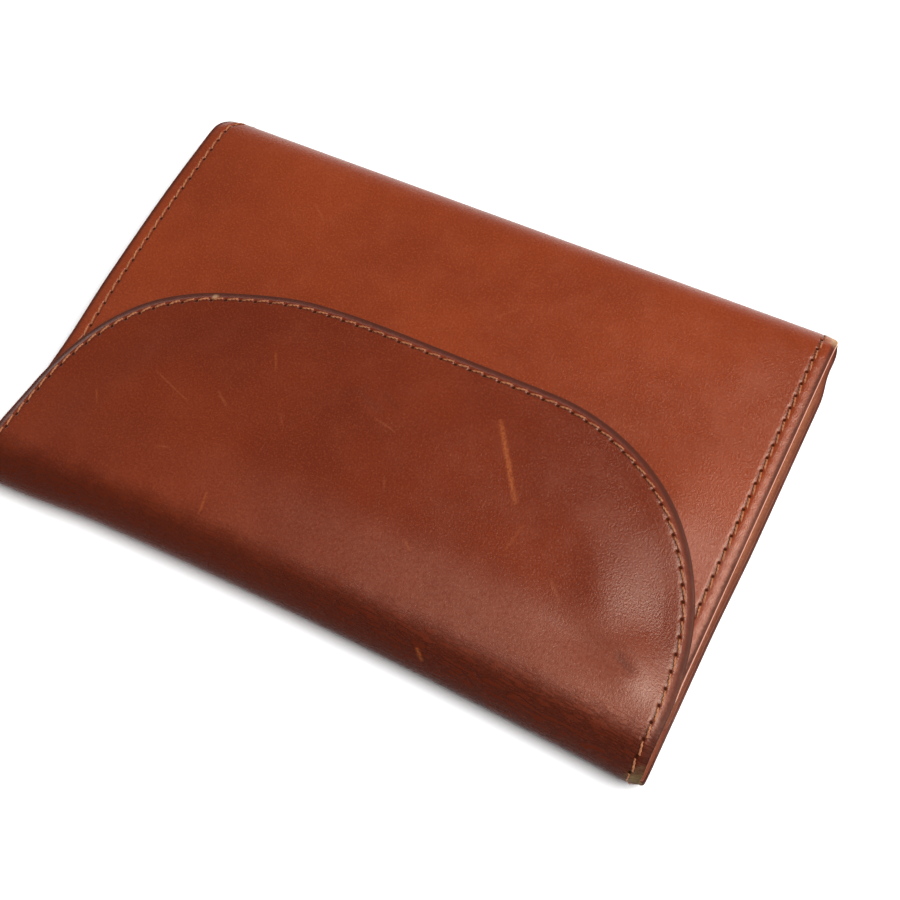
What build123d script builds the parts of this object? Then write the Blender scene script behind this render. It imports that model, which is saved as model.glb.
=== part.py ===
"""Three-fold leather wallet that takes a passport, in millimetres, closed.

Frame: +X runs along the folds, +Y from the near fold to the far fold, +Z up.
The origin is at the centre of the footprint, on the surface it lies on.

From the bottom up: the back panel with its pockets, the front panel folded
over from the far edge, and the D-shaped flap folded over from the near edge.
One hide makes the whole outside.  It is cut into panels here where it folds.
"""
import os

from build123d import *

# Driving dimensions
length = 145.0  # along the folds
depth = 97.0  # closed, from fold to fold
cover_t = 1.1  # outer leather
lining_t = 0.4  # skived lining leather
divider_t = 0.5
sleeve_t = 0.6
card_pocket_t = 0.4
coin_front_t = 0.6
lid_t = 0.8
total_height = 10.8  # closed, at the near fold
front_height = 6.0  # closed, at the far fold
near_leg = 10.0  # leather given to the near fold, from its outermost line
far_leg = 8.0

flap_reach = 60.5  # from the near fold to the flap's tip
flap_corner_r = 46.0
front_tip = 11.0  # from the near fold to the front panel's free edge
front_tip_corner_r = 3.0
divider_reach = 83.0  # from the near fold
sleeve_reach = 64.0
thumb_notch_r = 12.0
lining_inset = 0.4  # each inner layer is cut back a little from the edge

seam_inset = 3.2  # from the cut edge to the stitch line
stitch_pitch = 3.2
stitch_length = 2.5
stitch_width = 0.7
stitch_height = 0.25
stitch_slant = 14.0  # degrees from the seam's direction

card_count = 3
card_mouth = 71.0  # first card pocket's mouth, from the near fold
card_step = 10.0
card_column_x = 24.0  # seam between the card pockets and the ticket pocket

coin_mouth = 21.0  # from the near fold
hinge_strip_t = 0.8
hinge_strip_low = 10.5
hinge_strip_high = 18.5
hinge_strip_width = 98.0
lid_low = 19.0
lid_high = 55.5
lid_width = 94.0
lid_corner_r = 14.0
lid_seam_inset = 2.5
lid_base = 7.0  # height of the lid's outer face, closed

stud_x = -3.0
stud_reach = 45.5  # from the near fold
cap_r = 5.5
cap_t = 0.6
cap_edge_r = 0.4
shank_r = 1.8
socket_r = 4.0
socket_t = 0.55
socket_bore_r = 2.1
socket_floor_t = 0.2
post_flange_r = 3.5
post_flange_t = 0.2
post_head_r = 1.7
post_head_drop = 0.6  # how far the head stands out of the pocket's front
rivet_r = 1.3
rivet_rim_r = 2.4
rivet_rim_t = 0.2
fit_gap = 0.1

# Worked out from the driving dimensions
half_length = length / 2
y_near = -depth / 2
y_far = depth / 2
near_r = total_height / 2
far_r = front_height / 2
back_low = y_near + near_leg
back_high = y_far - far_leg

lining_z = cover_t
divider_z = lining_z + lining_t
sleeve_z = divider_z + divider_t
back_top = sleeve_z + sleeve_t

front_cover_z = front_height - cover_t
front_lining_z = front_cover_z - lining_t

flap_cover_z = total_height - cover_t
flap_lining_z = flap_cover_z - lining_t
coin_front_z = flap_lining_z - coin_front_t
hinge_strip_z = flap_lining_z - hinge_strip_t
stud_y = y_near + stud_reach
seam_x = half_length - seam_inset

os.makedirs("parts", exist_ok=True)


def panel_outline(low, high, half_width):
    """A rectangle on the current sketch plane, from Y low to Y high."""
    with Locations((0, (low + high) / 2)):
        Rectangle(2 * half_width, high - low)


def flap_outline(inset, low):
    """The D outline of the flap, cut back by inset, above the line Y = low."""
    side = half_length - inset
    radius = flap_corner_r - inset
    centre_x = half_length - flap_corner_r
    centre_y = y_near + flap_reach - flap_corner_r
    with BuildLine() as outline:
        if low < centre_y:
            reach = 0
            Line((side, low), (side, centre_y))
            Line((-side, centre_y), (-side, low))
            root_x = side
        else:
            reach = (low - centre_y) / radius
            root_x = centre_x + radius * (1 - reach**2) ** 0.5
        top = (centre_x, centre_y + radius)
        start = (root_x, max(low, centre_y))
        middle_x = centre_x + radius * 0.5**0.5
        middle_y = centre_y + radius * 0.5**0.5
        ThreePointArc(start, (middle_x, middle_y), top)
        Line(top, (-top[0], top[1]))
        ThreePointArc((-top[0], top[1]), (-middle_x, middle_y), (-start[0], start[1]))
        Line((-root_x, low), (root_x, low))
    make_face(outline.edges())


def fold_outline(outer_z, thickness, radius, edge_y, leg, side):
    """A sheet of leather folded through half a turn, seen along X.

    outer_z is how far the sheet's outer face lies inside the radius, edge_y the
    fold's outermost line, and side is +1 where the fold opens towards +Y.
    """
    outer = radius - outer_z
    inner = outer - thickness
    centre_y = edge_y + side * radius
    leg_y = edge_y + side * leg
    with BuildLine() as outline:
        Line((leg_y, radius - outer), (centre_y, radius - outer))
        outer_turn = (centre_y - side * outer, radius)
        ThreePointArc((centre_y, radius - outer), outer_turn, (centre_y, radius + outer))
        Line((centre_y, radius + outer), (leg_y, radius + outer))
        Line((leg_y, radius + outer), (leg_y, radius + inner))
        Line((leg_y, radius + inner), (centre_y, radius + inner))
        inner_turn = (centre_y - side * inner, radius)
        ThreePointArc((centre_y, radius + inner), inner_turn, (centre_y, radius - inner))
        Line((centre_y, radius - inner), (leg_y, radius - inner))
        Line((leg_y, radius - inner), (leg_y, radius - outer))
    make_face(outline.edges())


def stitch_row(start, end, z, slant):
    """Slanted stitches along a straight seam, standing on the height z."""
    run = Vector(*end) - Vector(*start)
    count = round(run.length / stitch_pitch)
    heading = run.get_signed_angle(Vector(1, 0, 0), Vector(0, 0, -1))
    for index in range(count):
        place = Vector(*start) + run * ((index + 0.5) / count)
        spot = Location((place.X, place.Y, z), (0, 0, heading + slant))
        with Locations(spot):
            Box(
                stitch_length,
                stitch_width,
                stitch_height,
                align=(Align.CENTER, Align.CENTER, Align.MIN),
            )


def fold_stitches(edge_y, radius, side):
    """Stitches over the upper quarter of a fold, at both ends of the fold."""
    count = max(2, round(radius * 1.5708 / stitch_pitch))
    centre_y = edge_y + side * radius
    for end in (-1, 1):
        for index in range(count):
            turn = 90 * (index + 0.5) / count
            with Locations(
                Location((end * seam_x, centre_y, radius), (side * turn, 0, 0))
                * Location((0, 0, radius + stitch_height / 2), (0, 0, 90 - end * stitch_slant))
            ):
                Box(stitch_length * 0.8, stitch_width, stitch_height)


# ---------------------------------------------------------------- back panel

with BuildPart() as back_cover:
    with BuildSketch(Plane.XY):
        panel_outline(back_low, back_high, half_length)
    extrude(amount=cover_t)
back_cover.part.label = "back_cover"
export_step(back_cover.part, "parts/back_cover.step")

with BuildPart() as back_lining:
    with BuildSketch(Plane.XY.offset(lining_z)):
        panel_outline(back_low, back_high, half_length - lining_inset)
    extrude(amount=lining_t)
back_lining.part.label = "back_lining"
export_step(back_lining.part, "parts/back_lining.step")

with BuildPart() as bill_divider:
    with BuildSketch(Plane.XY.offset(divider_z)):
        panel_outline(back_low, y_near + divider_reach, half_length - lining_inset)
    extrude(amount=divider_t)
bill_divider.part.label = "bill_divider"
export_step(bill_divider.part, "parts/bill_divider.step")

with BuildPart() as passport_sleeve:
    with BuildSketch(Plane.XY.offset(sleeve_z)):
        panel_outline(back_low, y_near + sleeve_reach, half_length - lining_inset)
        with Locations((0, y_near + sleeve_reach)):
            Circle(thumb_notch_r, mode=Mode.SUBTRACT)
    extrude(amount=sleeve_t)
passport_sleeve.part.label = "passport_sleeve"
export_step(passport_sleeve.part, "parts/passport_sleeve.step")

with BuildPart() as back_stitching:
    for end in (-1, 1):
        row_x = end * seam_x
        row_high = y_near + sleeve_reach - stitch_pitch
        stitch_row((row_x, back_low), (row_x, row_high), back_top, -end * stitch_slant)
back_stitching.part.label = "back_stitching"
export_step(back_stitching.part, "parts/back_stitching.step")

# --------------------------------------------------------------- the two folds

with BuildPart() as near_fold_cover:
    with BuildSketch(Plane.YZ.offset(-half_length)):
        fold_outline(0, cover_t, near_r, y_near, near_leg, 1)
    extrude(amount=length)
near_fold_cover.part.label = "near_fold_cover"
export_step(near_fold_cover.part, "parts/near_fold_cover.step")

with BuildPart() as near_fold_lining:
    with BuildSketch(Plane.YZ.offset(lining_inset - half_length)):
        fold_outline(cover_t, lining_t, near_r, y_near, near_leg, 1)
    extrude(amount=length - 2 * lining_inset)
near_fold_lining.part.label = "near_fold_lining"
export_step(near_fold_lining.part, "parts/near_fold_lining.step")

with BuildPart() as near_fold_stitching:
    fold_stitches(y_near, near_r, 1)
near_fold_stitching.part.label = "near_fold_stitching"
export_step(near_fold_stitching.part, "parts/near_fold_stitching.step")

with BuildPart() as far_fold_cover:
    with BuildSketch(Plane.YZ.offset(-half_length)):
        fold_outline(0, cover_t, far_r, y_far, far_leg, -1)
    extrude(amount=length)
far_fold_cover.part.label = "far_fold_cover"
export_step(far_fold_cover.part, "parts/far_fold_cover.step")

with BuildPart() as far_fold_lining:
    with BuildSketch(Plane.YZ.offset(lining_inset - half_length)):
        fold_outline(cover_t, lining_t, far_r, y_far, far_leg, -1)
    extrude(amount=length - 2 * lining_inset)
far_fold_lining.part.label = "far_fold_lining"
export_step(far_fold_lining.part, "parts/far_fold_lining.step")

with BuildPart() as far_fold_stitching:
    fold_stitches(y_far, far_r, -1)
far_fold_stitching.part.label = "far_fold_stitching"
export_step(far_fold_stitching.part, "parts/far_fold_stitching.step")

# --------------------------------------------------------------- front panel

with BuildPart() as front_cover:
    with BuildSketch(Plane.XY.offset(front_cover_z)):
        panel_outline(y_near + front_tip, back_high, half_length)
    extrude(amount=cover_t)
    upright = front_cover.edges().filter_by(Axis.Z)
    fillet(upright.group_by(Axis.Y)[0], radius=front_tip_corner_r)
front_cover.part.label = "front_cover"
export_step(front_cover.part, "parts/front_cover.step")

with BuildPart() as front_lining:
    with BuildSketch(Plane.XY.offset(front_lining_z)):
        lining_low = y_near + front_tip + lining_inset
        panel_outline(lining_low, back_high, half_length - lining_inset)
    extrude(amount=lining_t)
    upright = front_lining.edges().filter_by(Axis.Z)
    fillet(upright.group_by(Axis.Y)[0], radius=front_tip_corner_r)
front_lining.part.label = "front_lining"
export_step(front_lining.part, "parts/front_lining.step")

for index in range(card_count):
    with BuildPart() as card_pocket:
        pocket_z = front_lining_z - (index + 1) * card_pocket_t
        with BuildSketch(Plane.XY.offset(pocket_z)):
            pocket_low = y_near + front_tip + 2 * lining_inset
            pocket_high = y_near + card_mouth - index * card_step
            panel_outline(pocket_low, pocket_high, half_length - 2 * lining_inset)
        extrude(amount=card_pocket_t)
        upright = card_pocket.edges().filter_by(Axis.Z)
        fillet(upright.group_by(Axis.Y)[0], radius=front_tip_corner_r)
    card_pocket.part.label = f"card_pocket_{index + 1}"
    export_step(card_pocket.part, f"parts/card_pocket_{index + 1}.step")

with BuildPart() as front_stitching:
    for end in (-1, 1):
        row_x = end * seam_x
        row_low = y_near + front_tip + seam_inset
        stitch_row((row_x, row_low), (row_x, back_high), front_height, -end * stitch_slant)
front_stitching.part.label = "front_stitching"
export_step(front_stitching.part, "parts/front_stitching.step")

with BuildPart() as card_pocket_stitching:
    last_mouth = y_near + card_mouth - (card_count - 1) * card_step
    row_low = y_near + front_tip + seam_inset
    row_z = front_lining_z - card_count * card_pocket_t - stitch_height
    row_high = last_mouth - stitch_pitch / 2
    stitch_row((card_column_x, row_low), (card_column_x, row_high), row_z, stitch_slant)
card_pocket_stitching.part.label = "card_pocket_stitching"
export_step(card_pocket_stitching.part, "parts/card_pocket_stitching.step")

# ---------------------------------------------------------------------- flap

with BuildPart() as flap_cover:
    with BuildSketch(Plane.XY.offset(flap_cover_z)):
        flap_outline(0, y_near + near_leg)
    extrude(amount=cover_t)
flap_cover.part.label = "flap_cover"
export_step(flap_cover.part, "parts/flap_cover.step")

with BuildPart() as flap_lining:
    with BuildSketch(Plane.XY.offset(flap_lining_z)):
        flap_outline(lining_inset, y_near + near_leg)
    extrude(amount=lining_t)
flap_lining.part.label = "flap_lining"
export_step(flap_lining.part, "parts/flap_lining.step")

with BuildPart() as coin_pocket_front:
    with BuildSketch(Plane.XY.offset(coin_front_z)):
        flap_outline(lining_inset, y_near + coin_mouth)
    extrude(amount=coin_front_t)
    with Locations((stud_x, stud_y, flap_lining_z)):
        CounterBoreHole(rivet_r, rivet_rim_r + fit_gap, rivet_rim_t)
coin_pocket_front.part.label = "coin_pocket_front"
export_step(coin_pocket_front.part, "parts/coin_pocket_front.step")

with BuildPart() as flap_stitching:
    centre_x = half_length - flap_corner_r
    centre_y = y_near + flap_reach - flap_corner_r
    curve_r = flap_corner_r - seam_inset
    with BuildLine(Plane.XY.offset(total_height)) as flap_seam:
        Line((seam_x, y_near + near_leg), (seam_x, centre_y))
        CenterArc((centre_x, centre_y), curve_r, 0, 90)
        Line((centre_x, centre_y + curve_r), (-centre_x, centre_y + curve_r))
        CenterArc((-centre_x, centre_y), curve_r, 90, 90)
        Line((-seam_x, centre_y), (-seam_x, y_near + near_leg))
    seam_path = flap_seam.wires()[0]
    seam_count = round(seam_path.length / stitch_pitch)
    for index in range(seam_count):
        along = (index + 0.5) / seam_count
        place = seam_path @ along
        heading = (seam_path % along).get_signed_angle(Vector(1, 0, 0), Vector(0, 0, -1))
        with Locations(Location((place.X, place.Y, place.Z), (0, 0, heading - stitch_slant))):
            Box(
                stitch_length,
                stitch_width,
                stitch_height,
                align=(Align.CENTER, Align.CENTER, Align.MIN),
            )
flap_stitching.part.label = "flap_stitching"
export_step(flap_stitching.part, "parts/flap_stitching.step")

# --------------------------------------------------- coin pocket's lid and stud

with BuildPart() as coin_lid_hinge:
    with BuildSketch(Plane.XY.offset(hinge_strip_z)):
        panel_outline(y_near + hinge_strip_low, y_near + hinge_strip_high, hinge_strip_width / 2)
    extrude(amount=hinge_strip_t)
coin_lid_hinge.part.label = "coin_lid_hinge"
export_step(coin_lid_hinge.part, "parts/coin_lid_hinge.step")

with BuildPart() as coin_hinge_stitching:
    row_y = y_near + (hinge_strip_low + hinge_strip_high) / 2
    row_x = hinge_strip_width / 2 - stitch_pitch
    row_z = hinge_strip_z - stitch_height
    stitch_row((-row_x, row_y), (row_x, row_y), row_z, stitch_slant)
coin_hinge_stitching.part.label = "coin_hinge_stitching"
export_step(coin_hinge_stitching.part, "parts/coin_hinge_stitching.step")

with BuildPart() as coin_lid:
    with BuildSketch(Plane.XY.offset(lid_base)):
        panel_outline(y_near + lid_low, y_near + lid_high, lid_width / 2)
    extrude(amount=lid_t)
    upright = coin_lid.edges().filter_by(Axis.Z)
    fillet(upright.group_by(Axis.Y)[-1], radius=lid_corner_r)
    with Locations((stud_x, stud_y, lid_base + lid_t)):
        Hole(shank_r + fit_gap)
coin_lid.part.label = "coin_lid"
export_step(coin_lid.part, "parts/coin_lid.step")

with BuildPart() as coin_lid_stitching:
    side_x = lid_width / 2 - lid_seam_inset
    side_low = y_near + lid_low + lid_seam_inset
    side_high = y_near + lid_high - lid_corner_r
    tip_x = lid_width / 2 - lid_corner_r
    tip_y = y_near + lid_high - lid_seam_inset
    curve_r = lid_corner_r - lid_seam_inset
    row_z = lid_base - stitch_height
    stitch_row((side_x, side_low), (side_x, side_high), row_z, stitch_slant)
    stitch_row((tip_x, tip_y), (-tip_x, tip_y), row_z, stitch_slant)
    stitch_row((-side_x, side_high), (-side_x, side_low), row_z, stitch_slant)
    corner_count = round(curve_r * 1.5708 / stitch_pitch)
    for end in (-1, 1):
        with Locations((end * tip_x, side_high, row_z)):
            first = 90 / corner_count / 2 + (0 if end > 0 else 90)
            with PolarLocations(curve_r, corner_count, first, 90):
                Box(
                    stitch_width,
                    stitch_length,
                    stitch_height,
                    rotation=(0, 0, stitch_slant),
                    align=(Align.CENTER, Align.CENTER, Align.MIN),
                )
coin_lid_stitching.part.label = "coin_lid_stitching"
export_step(coin_lid_stitching.part, "parts/coin_lid_stitching.step")

with BuildPart() as stud_cap:
    with BuildSketch(Plane.XY.offset(lid_base - cap_t)):
        with Locations((stud_x, stud_y)):
            Circle(cap_r)
    extrude(amount=cap_t)
    fillet(stud_cap.edges().group_by(Axis.Z)[0], radius=cap_edge_r)
    with BuildSketch(Plane.XY.offset(lid_base)):
        with Locations((stud_x, stud_y)):
            Circle(shank_r)
    extrude(amount=lid_t)
stud_cap.part.label = "stud_cap"
export_step(stud_cap.part, "parts/stud_cap.step")

with BuildPart() as stud_socket:
    with BuildSketch(Plane.XY.offset(lid_base + lid_t)):
        with Locations((stud_x, stud_y)):
            Circle(socket_r)
    extrude(amount=socket_t)
    with BuildSketch(Plane.XY.offset(lid_base + lid_t + socket_floor_t)):
        with Locations((stud_x, stud_y)):
            Circle(socket_bore_r)
    extrude(amount=socket_t, mode=Mode.SUBTRACT)
stud_socket.part.label = "stud_socket"
export_step(stud_socket.part, "parts/stud_socket.step")

with BuildPart() as stud_post:
    with BuildSketch(Plane.XY.offset(coin_front_z - post_head_drop)):
        with Locations((stud_x, stud_y)):
            Circle(post_head_r)
    extrude(amount=post_head_drop)
    with BuildSketch(Plane.XY.offset(coin_front_z - post_flange_t)):
        with Locations((stud_x, stud_y)):
            Circle(post_flange_r)
    extrude(amount=post_flange_t)
    with BuildSketch(Plane.XY.offset(coin_front_z)):
        with Locations((stud_x, stud_y)):
            Circle(rivet_r - fit_gap)
    extrude(amount=coin_front_t)
    with BuildSketch(Plane.XY.offset(flap_lining_z - rivet_rim_t)):
        with Locations((stud_x, stud_y)):
            Circle(rivet_rim_r)
    extrude(amount=rivet_rim_t)
stud_post.part.label = "stud_post"
export_step(stud_post.part, "parts/stud_post.step")
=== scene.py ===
"""Looks for the three-fold leather wallet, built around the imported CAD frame.

Lengths here are millimetres until a mesh is made.  Wallet coordinates are x
along the folds, y from the near fold's outermost line, and z up.  A sheet of
leather is drawn flat, as (x, s), and a wrap function lays it in place.
"""
import math

import bpy
import numpy as np
from mathutils import Matrix, Vector


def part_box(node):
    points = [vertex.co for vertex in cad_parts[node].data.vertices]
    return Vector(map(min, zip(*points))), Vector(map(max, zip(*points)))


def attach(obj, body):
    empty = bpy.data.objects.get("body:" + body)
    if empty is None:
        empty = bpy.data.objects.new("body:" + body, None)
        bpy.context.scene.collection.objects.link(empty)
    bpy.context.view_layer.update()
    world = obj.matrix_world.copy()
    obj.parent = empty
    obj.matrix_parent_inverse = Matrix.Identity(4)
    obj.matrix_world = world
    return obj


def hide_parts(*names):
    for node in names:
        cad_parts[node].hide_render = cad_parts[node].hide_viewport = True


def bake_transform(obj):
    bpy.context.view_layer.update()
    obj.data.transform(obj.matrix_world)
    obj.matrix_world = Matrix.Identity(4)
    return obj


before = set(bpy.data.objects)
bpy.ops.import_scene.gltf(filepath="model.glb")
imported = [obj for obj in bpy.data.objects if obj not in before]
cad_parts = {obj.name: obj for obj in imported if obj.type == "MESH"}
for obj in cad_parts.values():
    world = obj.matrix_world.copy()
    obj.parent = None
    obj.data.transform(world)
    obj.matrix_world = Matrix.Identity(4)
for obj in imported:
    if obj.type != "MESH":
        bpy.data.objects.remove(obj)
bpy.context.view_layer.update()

MM = 0.001
rng = np.random.default_rng(7)

# ------------------------------------------------------------------ frame sizes


def node_box(node):
    """Lowest and highest corner of a CAD node, in millimetres."""
    low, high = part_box(node)
    return np.array(low) / MM, np.array(high) / MM


near_low, near_high = node_box("near_fold_cover")
far_high = node_box("far_fold_cover")[1]
flap_low, flap_high = node_box("flap_cover")
front_low = node_box("front_cover")[0]
lining_low, lining_high = node_box("flap_lining")
coin_front_low, coin_front_high = node_box("coin_pocket_front")
divider_low, divider_high = node_box("bill_divider")
sleeve_low, sleeve_high = node_box("passport_sleeve")
strip_low = node_box("coin_lid_hinge")[0]
lid_low, lid_high = node_box("coin_lid")
cap_low, cap_high = node_box("stud_cap")

Y_NEAR = near_low[1]
HALF = near_high[0]
DEPTH = far_high[1] - Y_NEAR
FRONT_HEIGHT = far_high[2]
COVER = flap_high[2] - flap_low[2]
LINING = lining_high[2] - lining_low[2]
COIN_FRONT = coin_front_high[2] - coin_front_low[2]
FLAP_REACH = flap_high[1] - Y_NEAR
FRONT_TIP = front_low[1] - Y_NEAR
FLAP_CORNER_R = 46.0
FRONT_CORNER_R = 6.0
SPLIT_Y = 14.0  # the hide's hidden joint, on the underside
LAYER_INSET = 0.4
STITCH_PITCH = 3.2
SIDE_PITCH = 2.9  # the front panel is sewn a little closer
FLAP_SEAM = 2.3  # from the flap's edge to its stitches
SIDE_SEAM = 3.1
NEAR_TOP = near_high[2] - 1.2  # the fold is pressed a little flatter than the flap
NEAR_ROLL = (7.0, 4.6)  # how far the upper and lower halves of each fold reach in
FAR_TOP = FRONT_HEIGHT + 2.0
FAR_ROLL = (8.0, 4.0)
FAR_Y = DEPTH - FAR_ROLL[0]
STUD_X = (cap_low[0] + cap_high[0]) / 2
STUD_Y = (cap_low[1] + cap_high[1]) / 2 - Y_NEAR
CAP_R = (cap_high[0] - cap_low[0]) / 2

# -------------------------------------------------------------- surface heights


def smooth(value):
    """Smoothstep of value, clipped to 0..1."""
    t = np.clip(value, 0.0, 1.0)
    return t * t * (3 - 2 * t)


RIPPLES = [
    (rng.uniform(0.12, 0.55), rng.uniform(0, 2 * math.pi), rng.uniform(0, 2 * math.pi))
    for _ in range(14)
]


def ripple(x, y):
    """A gentle, fixed unevenness of about plus or minus 1."""
    total = np.zeros_like(x)
    for wave, heading, phase in RIPPLES:
        along = x * math.cos(heading) + y * math.sin(heading)
        total += np.sin(wave * along + phase) * (0.12 / wave) ** 0.5
    return total / 4


def hill(u, v, reach_u, reach_v):
    """A smooth bump, 1 high at u = v = 0."""
    return np.exp(-((u / reach_u) ** 2) - (v / reach_v) ** 2)


def flap_edge_distance(x, y):
    """Distance inside the flap's D outline."""
    centre_x = HALF - FLAP_CORNER_R
    centre_y = FLAP_REACH - FLAP_CORNER_R
    across = np.abs(x)
    corner = FLAP_CORNER_R - np.hypot(across - centre_x, y - centre_y)
    inside = np.where(across > centre_x, corner, FLAP_REACH - y)
    return np.where(y < centre_y, HALF - across, inside)


def front_z(x, y):
    """Top of the front panel, which rises towards the far fold."""
    across = np.clip(1 - (x / HALF) ** 2, 0, 1)
    span = np.clip((y - FRONT_TIP) / (FAR_Y - FRONT_TIP), 0, 1)
    rise = (FAR_TOP - FRONT_HEIGHT) * smooth((y - 22.0) / (FAR_Y - 22.0))
    crown = 0.3 * np.sin(math.pi * span) ** 2 * across
    pillow = 0.45 * hill(x - 58, y - 47, 8.0, 11.0) + 0.25 * hill(x - 58, y - 83, 6.0, 5.0)
    uneven = 0.06 * ripple(x, y) * np.sin(math.pi * span)
    return FRONT_HEIGHT + rise + crown + pillow + uneven


FLAP_GAP = 2.2  # flap's top over the front panel, at the flap's edge
FLAP_LIFT = 1.3  # what the coin pocket adds inside the edge
ROOT_LIFT = NEAR_TOP - FRONT_HEIGHT - FLAP_GAP
DENT_AT = (63.5, 16.0)  # near the flap's right-hand root
DENT_TURN = math.radians(-10)


def dent(x, y):
    """A pressed crease, the valley to its left, and the swell around it."""
    dx, dy = x - DENT_AT[0], y - DENT_AT[1]
    u = dx * math.cos(DENT_TURN) + dy * math.sin(DENT_TURN)
    v = dy * math.cos(DENT_TURN) - dx * math.sin(DENT_TURN)
    crease = -0.45 * hill(u + 1.4, v - 0.6, 2.6, 1.1)
    valley = -0.55 * hill(u + 10, v + 0.2, 7.5, 2.6)
    swell = 1.40 * hill(u - 0.4, v - 1.0, 5.6, 5.2)
    tail = 0.22 * hill(u + 15, v - 11.0, 7.0, 6.0)
    return crease + valley + swell + tail


def flap_z(x, y):
    """Top of the flap, which is lifted by the coin pocket and droops at its edge."""
    root = 1 - smooth((y - NEAR_ROLL[0]) / 13.0)
    inside = flap_edge_distance(x, y)
    clear_of_fold = smooth((y - 4.0) / 16.0)
    lift = ROOT_LIFT * root + FLAP_LIFT * smooth((inside - 4.5) / 14.0) * clear_of_fold
    droop = 0.28 * (1 - smooth(inside / 2.4)) * clear_of_fold
    ring = np.hypot(x - STUD_X, y - STUD_Y) - CAP_R
    stud = 0.10 * np.exp(-((ring / 1.2) ** 2)) * (y > NEAR_ROLL[0])
    calm = smooth((y - NEAR_ROLL[0]) / 6.0)
    uneven = (0.09 * ripple(x + 40, y + 9) + dent(x, y) + stud) * calm
    return front_z(x, y) + FLAP_GAP + lift + uneven - droop


NEAR_CORNER_R = 1.8  # the folds' ends, seen from above
FAR_CORNER_R = 2.2
FAR_LEFT_R = 5.4


def corner_cut(reach, radius):
    """How far a rounded corner stands in, at a distance in from the fold's line."""
    t = np.clip(1 - reach / radius, 0, 1)
    return radius * (1 - np.sqrt(1 - t * t))


def shape_hand(x, y, z):
    """Small departures from square, the same for every piece."""
    near = 1 - smooth(y / 40.0)
    bow = 0.3 - 1.6 * (x / HALF) ** 2 - 0.7 * smooth((-x - 42) / 20)
    right = smooth((x - 50) / (HALF - 50))
    proud = 0.5 + 0.4 * smooth((y - 28) / 24)  # the back layers show past the front's end
    back = proud * (1 - smooth((z - 2.6) / 2.4)) * (1 - smooth((y - 84) / 8))
    front = -0.4 * smooth((z - 3.5) / 2) * smooth((y - 12) / 8)
    left = 0.62 * smooth((-x - 50) / 20) * smooth((y - 30) / 20) * (1 - smooth((y - 64) / 30))
    pressed = 1 - 0.08 * smooth((-x - 40) / 32) * (1 - smooth((y - 12) / 30))
    far_r = np.where(x < 0, FAR_LEFT_R, FAR_CORNER_R)
    inward = sum(
        corner_cut(reach, radius) * smooth((np.abs(x) - HALF) / (1.6 * radius) + 1)
        for reach, radius in ((y, NEAR_CORNER_R), (DEPTH - y, far_r))
    )
    x = x + right * (back + front) - left - np.sign(x) * inward
    return x, y + bow * near, z * pressed


def cut_by_eye(x, y):
    """How far the flap's curve runs low of a true one, on its left."""
    return -2.4 * np.exp(-(((x + 43) / 17.0) ** 2)) * np.clip(y / 58.0, 0, 1.1) ** 2


# ----------------------------------------------------------------- wrap functions


class Fold:
    """Half a squashed roll, from a top sheet round to the sheet below it."""

    def __init__(self, top, reach):
        self.middle = reach[1] if top > 2 * reach[1] else top / 2
        self.top = top
        self.reach = reach
        t = np.linspace(0, math.pi, 361)
        out, z = self.place(t)
        steps = np.hypot(np.diff(out), np.diff(z))
        self.angle = t
        self.along = np.concatenate([[0], np.cumsum(steps)])
        self.length = self.along[-1]

    def half_axes(self, t):
        """The roll's reach and rise at angle t; its upper and lower halves differ."""
        upper = t < math.pi / 2
        return np.where(upper, *self.reach), np.where(upper, self.top - self.middle, self.middle)

    def place(self, t):
        """Distance in from the outermost line, and height."""
        reach, rise = self.half_axes(t)
        return reach * (1 - np.sin(t)), self.middle + rise * np.cos(t)

    def wrap(self, s, n):
        """Distance in and height of a point s round the fold, offset by n."""
        t = np.interp(np.clip(-s, 0, self.length), self.along, self.angle)
        beyond = np.clip(-s - self.length, 0, None)
        into, z = self.place(t)
        reach, rise = self.half_axes(t)
        out_n, up_n = np.sin(t) / reach, np.cos(t) / rise
        size = np.hypot(out_n, up_n)
        return into - n * out_n / size + beyond, z + n * up_n / size


near_fold = Fold(NEAR_TOP, NEAR_ROLL)
far_fold = Fold(FAR_TOP, FAR_ROLL)


def near_wrap(x, s, n):
    """Underside, near fold and flap.  s is 0 where the flap leaves the fold."""
    y, z = near_fold.wrap(s, n)
    on_flap = s > 0
    flap_y = NEAR_ROLL[0] + s
    z = np.where(on_flap, flap_z(x, flap_y) + n, z)
    y = np.where(on_flap, flap_y + cut_by_eye(x, flap_y), y)
    return shape_hand(x, y, z)


def far_wrap(x, s, n):
    """Back panel, far fold and front panel.  s is 0 where the front leaves the fold."""
    into, z = far_fold.wrap(s, n)
    on_front = s > 0
    front_y = FAR_Y - s
    z = np.where(on_front, front_z(x, front_y) + n, z)
    y = np.where(on_front, front_y, DEPTH - into)
    return shape_hand(x, y, z)


def flap_under_wrap(x, s, n):
    """Pieces under the flap, with s measured as y, and n below its top."""
    return shape_hand(x, s + cut_by_eye(x, s), flap_z(x, s) + n)


def front_under_wrap(x, s, n):
    """Pieces under the front panel, with s measured back from the far fold."""
    y = FAR_Y - s
    return shape_hand(x, y, front_z(x, y) + n)


def back_wrap(x, s, n):
    """Flat pieces on the back panel, with s measured as y."""
    return shape_hand(x, s, n + 0 * x)


def lid_z(x, y):
    """Top of the coin pocket's lid, from its sewn strip to its tip."""
    inner = smooth((flap_edge_distance(x, y) - 4) / 8)
    leaf = front_z(x, y) + 0.8 + 0.45 * inner
    strip = flap_z(x, y) - COVER - LINING
    return leaf + (strip - leaf) * (1 - smooth((y - 16.5) / 4.5))


def lid_wrap(x, s, n):
    """The coin pocket's lid, with s measured as y."""
    return shape_hand(x, s, lid_z(x, s) + n)


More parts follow.
